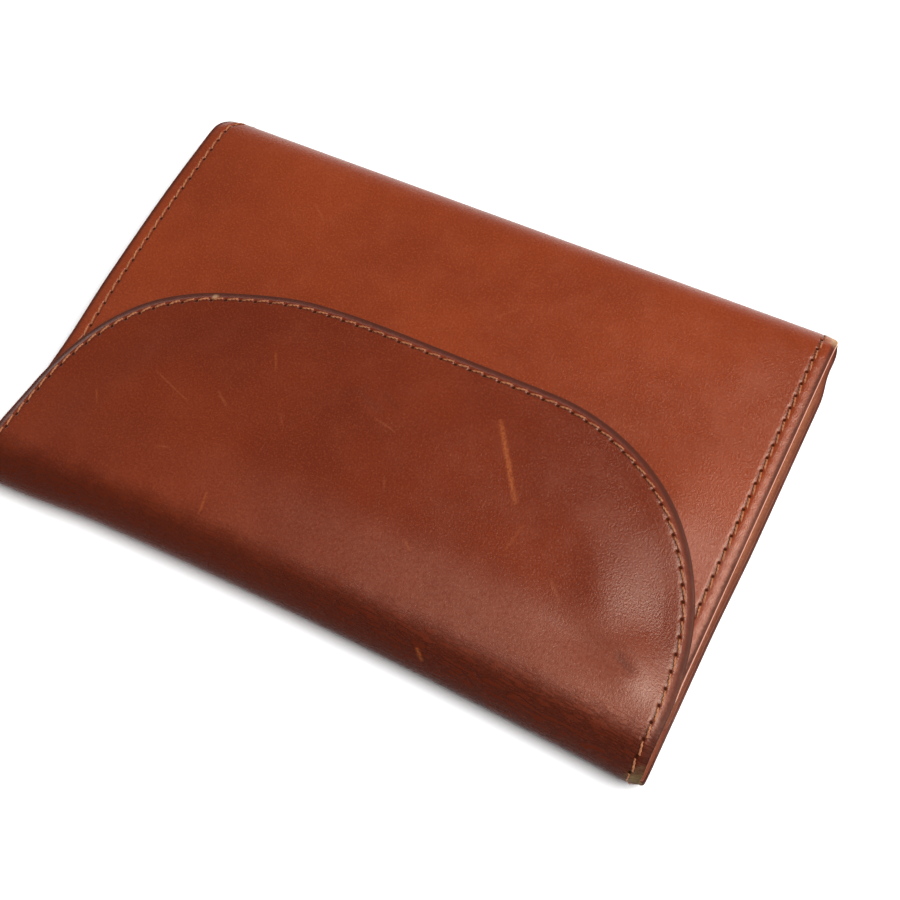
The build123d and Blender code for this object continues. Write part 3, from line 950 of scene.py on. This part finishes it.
cover_leather_flap = leather(
    "cover_leather_flap", (0.138, 0.0205, 0.0062), (0.096, 0.0125, 0.0042), (0.19, 0.036, 0.011),
    BURNISH, band=1.10, sheen_stretch=((-45.0, 40.0), (9.0, 16.0), FLAP_SHEEN_PAINT), folded=True,
    lines=flap_lines_and_shade, groove=FLAP_SEAM + 0.1, arris_highlight=(0.25, -1.0, 1.0),
    rough_spots=[
        (HALF, -1.2, 4.8, WORN_OLIVE, 0.9), (-HALF, -4.0, 3.0, RAW_TAN, 0.5),
        # the dark spot at the near fold's left end is painted shade
        (-HALF, 6.0, 4.5, DARK_MARK_AND_SHADE, 0.7), (-47.0, 54.2, 1.3, RAW_TAN, 0.7),
    ],
)
cover_leather_front = leather(
    "cover_leather_front", (0.198, 0.031, 0.0085), (0.145, 0.021, 0.0060), (0.27, 0.053, 0.015),
    BURNISH, band=0.75, roughness=0.285, sheen_stretch=((30.0, 55.0), (24.0, 42.0), FRONT_SHEEN_PAINT),
    lines=front_scratches, groove=SIDE_SEAM + 0.2, arris_highlight=(0.9, 98.0, 96.0),
    rough_spots=[(HALF, 97.0, 4.6, RAW_TAN, 0.9), (-HALF, 98.0, 2.6, RAW_TAN, 0.5)],
)
lining_leather = leather(
    "lining_leather", (0.20, 0.050, 0.018), (0.145, 0.032, 0.012), (0.28, 0.085, 0.034),
    (0.11, 0.024, 0.012), band=0.4, roughness=0.55,
)
pocket_leather = leather(
    "pocket_leather", (0.24, 0.066, 0.024), (0.17, 0.042, 0.015), (0.32, 0.105, 0.042),
    (0.09, 0.022, 0.011), band=0.5, roughness=0.48,
)
thread_look = thread_material()
brass_look = stud_material()


def dress(piece, material):
    """Give a piece its material."""
    piece.data.materials.clear()
    piece.data.materials.append(material)
    return piece


# -------------------------------------------------------------- outer hide, near

COARSE = 4  # edge stations to one face of the inner grid
FOLD_TURN = near_fold.length
near_s_low = -FOLD_TURN - (SPLIT_Y - NEAR_ROLL[1])
flap_corner_s = FLAP_REACH - FLAP_CORNER_R - NEAR_ROLL[0]
near_ends = (near_s_low, -FOLD_TURN, 0.0, flap_corner_s)
near_sides = stretches(near_ends, (0.30, 0.16, 0.30))
near_shape = outline(HALF, near_sides, FLAP_CORNER_R, 0.30, COARSE)
near_profile = edge_profile(5.6, 0.0, COVER, 0.3, FLAP_SEAM, 0.62)
flap_seam = {"inset": FLAP_SEAM, "pitch": STITCH_PITCH, "spans": [(0, len(near_shape[0]) - 1)]}


def near_flat_y(s):
    return s + NEAR_ROLL[0]


hide_near = sheet(
    "hide_near", near_shape, near_wrap, near_profile, COARSE, flap_seam, near_flat_y
)
dress(hide_near, cover_leather_flap)
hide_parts("near_fold_cover", "flap_cover")

near_lining_sides = stretches(near_ends, (1.2, 0.6, 1.2))
near_lining_shape = outline(
    HALF - LAYER_INSET, near_lining_sides, FLAP_CORNER_R - LAYER_INSET, 1.2, 1
)
lining_profile = edge_profile(4.0, -COVER - 0.02, LINING, 0.12)
lining_near = sheet(
    "lining_near", near_lining_shape, near_wrap, lining_profile, 1, None, near_flat_y
)
dress(lining_near, lining_leather)
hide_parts("near_fold_lining", "flap_lining")

# --------------------------------------------------------------- outer hide, far

FAR_TURN = far_fold.length
far_s_low = -FAR_TURN - (DEPTH - FAR_ROLL[1] - SPLIT_Y)
front_tip_s = FAR_Y - FRONT_TIP
far_ends = (far_s_low, -FAR_TURN, 0.0, front_tip_s - FRONT_CORNER_R)
far_sides = stretches(far_ends, (0.45, 0.16, 0.30))
far_shape = outline(HALF, far_sides, FRONT_CORNER_R, 0.30, COARSE)
far_profile = edge_profile(5.4, 0.0, COVER, 0.22, SIDE_SEAM, 0.18)
far_points = far_shape[0]
far_side_count = int(np.argmax(far_points[:, 1] > front_tip_s - SIDE_SEAM - 1.5))
far_last = len(far_points) - 1
side_seam = {
    "inset": SIDE_SEAM,
    "pitch": SIDE_PITCH,
    "spans": [(0, far_side_count), (far_last - far_side_count, far_last)],
}


def far_flat_y(s):
    return FAR_Y - s


hide_far = sheet(
    "hide_far", far_shape, far_wrap, far_profile, COARSE, side_seam, far_flat_y
)
dress(hide_far, cover_leather_front)
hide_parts("back_cover", "far_fold_cover", "front_cover")

far_lining_sides = stretches(far_ends, (1.2, 0.5, 1.2))
far_lining_shape = outline(
    HALF - LAYER_INSET, far_lining_sides, FRONT_CORNER_R - LAYER_INSET, 1.2, 1
)
lining_far = sheet(
    "lining_far", far_lining_shape, far_wrap, lining_profile, 1, None, far_flat_y
)
dress(lining_far, lining_leather)
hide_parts("back_lining", "far_fold_lining", "front_lining")

# ------------------------------------------------------------------ seam threads

SLANT = 0.42
flap_thread = stitch_thread("thread_flap", flap_seam["runs"], near_wrap, 0.02, SLANT)
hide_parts("flap_stitching", "near_fold_stitching")
front_thread = stitch_thread("thread_front", side_seam["runs"], far_wrap, 0.02, -SLANT)
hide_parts("front_stitching", "far_fold_stitching")

# ------------------------------------------------- the two folds' pieces, with their transforms baked in

for piece in (hide_near, lining_near, flap_thread):
    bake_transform(piece)
for piece in (hide_far, lining_far, front_thread):
    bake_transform(piece)

# ------------------------------------------------------------- inner pocket layers


POCKET_STEP = 2.0


def pocket(name, low, high, z_top, thickness, wrap, body, half, corner=3.0):
    """A plain pocket panel with rounded corners at its high end."""
    shape = outline(half, [(low, high - corner, POCKET_STEP)], corner, POCKET_STEP, 1)
    profile = edge_profile(min(2.6, corner * 0.8), z_top, thickness, thickness * 0.35)
    piece = sheet(name, shape, wrap, profile, 1)
    dress(piece, pocket_leather)
    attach(piece, body)
    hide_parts(name.replace("_leather", ""))
    return piece


def flipped(wrap, origin):
    """The same wrap with s counted down from origin, so the low end is the far one."""

    def turned(x, s, n):
        return wrap(x, origin - s, n)

    return turned


back_layers = [
    ("bill_divider_leather", divider_low, divider_high),
    ("passport_sleeve_leather", sleeve_low, sleeve_high),
]
for name, low, high in back_layers:
    far_y = high[1] - Y_NEAR
    near_y = low[1] - Y_NEAR
    pocket(
        name, 0.0, far_y - near_y, high[2], high[2] - low[2] - 0.02,
        flipped(back_wrap, far_y), "root", high[0],
    )
for index in (1, 2, 3):
    low, high = node_box(f"card_pocket_{index}")
    mouth = FAR_Y - (high[1] - Y_NEAR)
    tip = FAR_Y - (low[1] - Y_NEAR)
    pocket(
        f"card_pocket_{index}_leather", mouth, tip, high[2] - FRONT_HEIGHT,
        high[2] - low[2] - 0.02, front_under_wrap, "front_panel", high[0], corner=5.0,
    )

# --------------------------------------------------------------- coin pocket

coin_half = HALF - LAYER_INSET
coin_r = FLAP_CORNER_R - LAYER_INSET
coin_mouth = coin_front_low[1] - Y_NEAR
coin_centre = FLAP_REACH - FLAP_CORNER_R
coin_angle = math.asin((coin_mouth - coin_centre) / coin_r)
coin_shape = outline(coin_half, [], coin_r, 1.4, 1, coin_angle)
coin_shape[0][:, 1] += coin_centre
coin_profile = edge_profile(4.0, -COVER - LINING - 0.05, COIN_FRONT, 0.15)
coin_front = sheet(
    "coin_pocket_front_leather", coin_shape, flap_under_wrap, coin_profile, 1
)
dress(coin_front, pocket_leather)
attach(coin_front, "flap")
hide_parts("coin_pocket_front")

LID_T = 0.62  # two thin layers, sewn together
lid_half = (lid_high[0] - lid_low[0]) / 2
lid_corner = 14.0
strip_y = strip_low[1] - Y_NEAR
lid_tip = lid_high[1] - Y_NEAR
LID_BEND = (16.0, 22.0)  # the lid turns between these, measured as y
lid_sides = [
    (strip_y, LID_BEND[0], 1.0), (*LID_BEND, 0.4), (LID_BEND[1], lid_tip - lid_corner, 1.0),
]
lid_shape = outline(lid_half, lid_sides, lid_corner, 0.6, 2)
lid_profile = edge_profile(4.4, 0.0, LID_T, 0.2)
lid_piece = sheet("coin_lid_leather", lid_shape, lid_wrap, lid_profile, 2)
dress(lid_piece, pocket_leather)
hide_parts("coin_lid", "coin_lid_hinge")
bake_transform(lid_piece)

# --------------------------------------------------------------- inner threads


def seam_run(points):
    """A seam along straight stretches between flat points."""
    line = np.array(points, float)
    along = path_length(line)
    count = round(along[-1] / STITCH_PITCH)
    return (line, along, 0, len(line) - 1, count)


LID_SEAM = 2.5
lid_curve = lid_corner - LID_SEAM
corner_x, corner_y = lid_half - lid_corner, lid_tip - lid_corner
right_side = [(lid_half - LID_SEAM, LID_BEND[1])] + [
    (corner_x + lid_curve * math.cos(a), corner_y + lid_curve * math.sin(a))
    for a in np.radians(np.linspace(0, 90, 16))
]
lid_line = right_side + [(-x, y) for x, y in reversed(right_side)]


def lid_outer_wrap(x, s, n):
    """The lid's lower face, which is its outer one when the flap is open."""
    return lid_wrap(x, s, -LID_T - n)


lid_thread = stitch_thread("thread_coin_lid", [seam_run(lid_line)], lid_outer_wrap, 0.04, SLANT)
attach(lid_thread, "coin_lid")
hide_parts("coin_lid_stitching")
strip_seam = [(-lid_half + 3, 13.6), (lid_half - 3, 13.6)]
strip_thread = stitch_thread(
    "thread_coin_hinge", [seam_run(strip_seam)], lid_outer_wrap, 0.04, SLANT
)
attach(strip_thread, "flap")
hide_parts("coin_hinge_stitching")

sleeve_top = sleeve_high[2]


def sleeve_wrap(x, s, n):
    """The passport sleeve's upper face."""
    return back_wrap(x, s, sleeve_top + n)


sleeve_mouth = sleeve_high[1] - Y_NEAR
back_rows = [
    seam_run([(side * (HALF - SIDE_SEAM), 12.0), (side * (HALF - SIDE_SEAM), sleeve_mouth - 2)])
    for side in (-1, 1)
]
back_thread = stitch_thread("thread_back", back_rows, sleeve_wrap, 0.02, SLANT)
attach(back_thread, "root")
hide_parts("back_stitching")

pocket3_low = node_box("card_pocket_3")[0]
column_low, column_high = node_box("card_pocket_stitching")
column_x = (column_low[0] + column_high[0]) / 2


def pocket_face_wrap(x, s, n):
    """The outermost card pocket's face, which looks down when closed."""
    return shape_hand(x, s, front_z(x, s) + pocket3_low[2] - FRONT_HEIGHT - n)


column = seam_run(
    [(column_x, column_low[1] - Y_NEAR), (column_x, column_high[1] - Y_NEAR)]
)
column_thread = stitch_thread("thread_card_column", [column], pocket_face_wrap, 0.04, SLANT)
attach(column_thread, "front_panel")
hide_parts("card_pocket_stitching")

# ------------------------------------------------------------------ press stud


def lean_at_stud(surface):
    """How much a leather surface climbs with x and with y, across the stud."""
    step = 3.0
    here = np.array([-step, step, 0, 0]), np.array([0, 0, -step, step])
    z = surface(STUD_X + here[0], STUD_Y + here[1])
    return (z[1] - z[0]) / (2 * step), (z[3] - z[2]) / (2 * step)


def lathe(name, profile, base_z, lean, body, node, sides=64):
    """A turned piece at the stud, lying along its leather.

    profile is (radius, height) from the axis round to the axis.
    """
    points, faces = [], []
    for r, h in profile:
        for j in range(sides):
            dx, dy = r * math.cos(2 * math.pi * j / sides), r * math.sin(2 * math.pi * j / sides)
            z = base_z + h + lean[0] * dx + lean[1] * dy
            points.append((STUD_X + dx, STUD_Y + dy + Y_NEAR, z))
    for i in range(len(profile) - 1):
        for j in range(sides):
            k = (j + 1) % sides
            faces.append((i * sides + j, i * sides + k, (i + 1) * sides + k, (i + 1) * sides + j))
    faces.append(tuple(reversed(range(sides))))
    faces.append(tuple((len(profile) - 1) * sides + j for j in range(sides)))
    piece = make_mesh(name, np.array(points), faces, {})
    piece.data.set_sharp_from_angle(angle=math.radians(35))
    dress(piece, brass_look)
    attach(piece, body)
    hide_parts(node)
    return piece


stud_at = (np.array([STUD_X]), np.array([STUD_Y]))
lid_top = float(lid_z(*stud_at)[0])
pocket_face = float(flap_z(*stud_at)[0]) - COVER - LINING - 0.11 - COIN_FRONT
lid_lean, flap_lean = lean_at_stud(lid_z), lean_at_stud(flap_z)
lid_bottom = lid_top - LID_T
cap_profile = [
    (0.05, -0.42), (2.2, -0.41), (3.9, -0.36), (4.9, -0.27), (5.35, -0.14), (5.45, -0.04),
    (5.3, 0.02), (3.0, 0.05), (0.05, 0.05),
]
lathe("stud_cap_turned", cap_profile, lid_bottom, lid_lean, "coin_lid", "stud_cap")
socket_profile = [
    (0.05, -0.02), (3.7, -0.02), (4.0, 0.06), (4.0, 0.14), (3.5, 0.24), (2.5, 0.26), (2.1, 0.2),
    (2.1, 0.06), (0.05, 0.06),
]
lathe("stud_socket_turned", socket_profile, lid_top, lid_lean, "coin_lid", "stud_socket")
post_profile = [
    (0.05, -0.34), (1.2, -0.34), (1.65, -0.28), (1.7, -0.2), (1.5, -0.12), (3.2, -0.10), (3.5, -0.04),
    (3.5, 0.03), (0.05, 0.03),
]
lathe("stud_post_turned", post_profile, pocket_face, flap_lean, "flap", "stud_post")

# ------------------------------------------------------------ floor, light, camera

STAGE_DROP = 0.30  # the stitches under the back panel touch the table
FLOOR_HALF = 2.5  # metres, as are the softbox's sizes


def pale_floor():
    mesh = bpy.data.meshes.new("floor")
    corners = ((-1, -1), (1, -1), (1, 1), (-1, 1))
    points = [(FLOOR_HALF * x, FLOOR_HALF * y, -STAGE_DROP * MM) for x, y in corners]
    mesh.from_pydata(points, [], [(0, 1, 2, 3)])
    look = Nodes("floor_white")
    look.shader.inputs["Base Color"].default_value = (0.95, 0.95, 0.95, 1)
    look.shader.inputs["Roughness"].default_value = 0.9
    look.shader.inputs["Specular IOR Level"].default_value = 0.1
    mesh.materials.append(look.material)
    piece = bpy.data.objects.new("floor", mesh)
    bpy.context.scene.collection.objects.link(piece)
    return piece


def softbox(place, target, size, power):
    """A rectangular soft light at place, turned to face target."""
    data = bpy.data.lights.new("softbox", "AREA")
    data.shape = "RECTANGLE"
    data.size, data.size_y = size
    data.energy = power
    lamp = bpy.data.objects.new("softbox", data)
    bpy.context.scene.collection.objects.link(lamp)
    lamp.location = place
    lamp.rotation_euler = (target - place).to_track_quat("-Z", "Y").to_euler()


def studio_world():
    """White surroundings, bright near the horizon and dim overhead."""
    world = bpy.data.worlds.new("studio")
    bpy.context.scene.world = world
    world.use_nodes = True
    sky, links = world.node_tree.nodes, world.node_tree.links
    sky["Background"].inputs["Color"].default_value = (1, 1, 1, 1)
    direction = sky.new("ShaderNodeTexCoord").outputs["Generated"]
    height = sky.new("ShaderNodeSeparateXYZ")
    fade = sky.new("ShaderNodeMapRange")
    fade.interpolation_type = "SMOOTHSTEP"
    for key, value in (("From Min", 0.0), ("From Max", 0.32), ("To Min", 1.6), ("To Max", 0.12)):
        fade.inputs[key].default_value = value
    links.new(direction, height.inputs[0])
    links.new(height.outputs["Z"], fade.inputs["Value"])
    links.new(fade.outputs[0], sky["Background"].inputs["Strength"])


floor = pale_floor()
softbox(Vector((0.62, 0.14, 1.0)), Vector((0.10, 0.0, 0.0)), (0.95, 0.85), 29.0)
studio_world()
bpy.context.scene.view_settings.view_transform = "Standard"

AZIMUTH = math.radians(38.1)
ELEVATION = math.radians(62.4)
ROLL = math.radians(-11.85)
CAMERA_DISTANCE = 272.3
CAMERA_TARGET = Vector((11.3, 44.7 + Y_NEAR, 0)) * MM


def main_camera():
    """A camera at the given azimuth and elevation, rolled about its line of sight."""
    across = math.cos(ELEVATION)
    toward = Vector(
        (math.sin(AZIMUTH) * across, -math.cos(AZIMUTH) * across, math.sin(ELEVATION))
    )
    level = (-toward).cross(Vector((0, 0, 1))).normalized()
    upright = level.cross(-toward)
    right_axis = level * math.cos(ROLL) + upright * math.sin(ROLL)
    up_axis = -level * math.sin(ROLL) + upright * math.cos(ROLL)
    data = bpy.data.cameras.new("camera")
    data.lens = 54.5
    data.sensor_width = 36.0
    data.clip_start = 0.01
    made = bpy.data.objects.new("camera", data)
    bpy.context.scene.collection.objects.link(made)
    turn = Matrix((right_axis, up_axis, toward)).transposed().to_4x4()
    made.matrix_world = Matrix.Translation(CAMERA_TARGET + toward * CAMERA_DISTANCE * MM) @ turn
    return made


camera = main_camera()
bpy.context.scene.camera = camera
